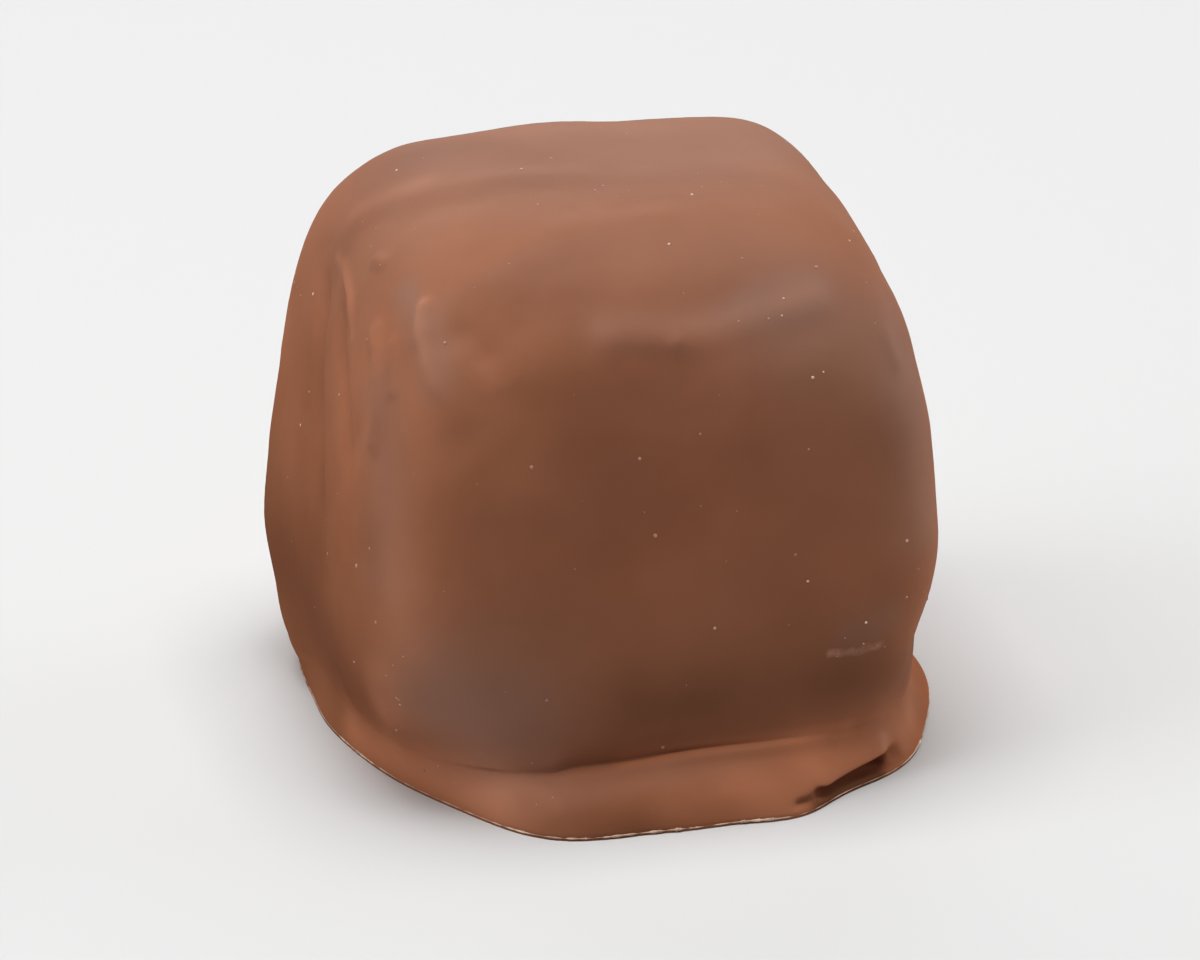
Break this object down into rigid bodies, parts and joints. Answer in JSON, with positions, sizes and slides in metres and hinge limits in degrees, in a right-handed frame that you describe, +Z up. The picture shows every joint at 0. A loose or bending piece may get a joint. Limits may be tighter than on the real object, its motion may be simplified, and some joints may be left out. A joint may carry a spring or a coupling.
{
  "type": "chocolate sponge candy",
  "caption": "Rounded cube of sponge candy coated in milk chocolate, with a low uneven foot of coating around its flat base.",
  "frame": {"origin": "middle of the flat underside, on the surface the candy stands on", "axes": "+Z up, +X to the right seen from the front face, +Y towards the back face"},
  "size_m": [0.0368, 0.0388, 0.0333],
  "materials": {
    "milk_chocolate": "satin milk chocolate, slightly uneven, with pinhole bubbles and faint scuffs"
  },
  "bodies": {
    "root": {"sponge_candy": "milk_chocolate"}
  },
  "joints": []
}
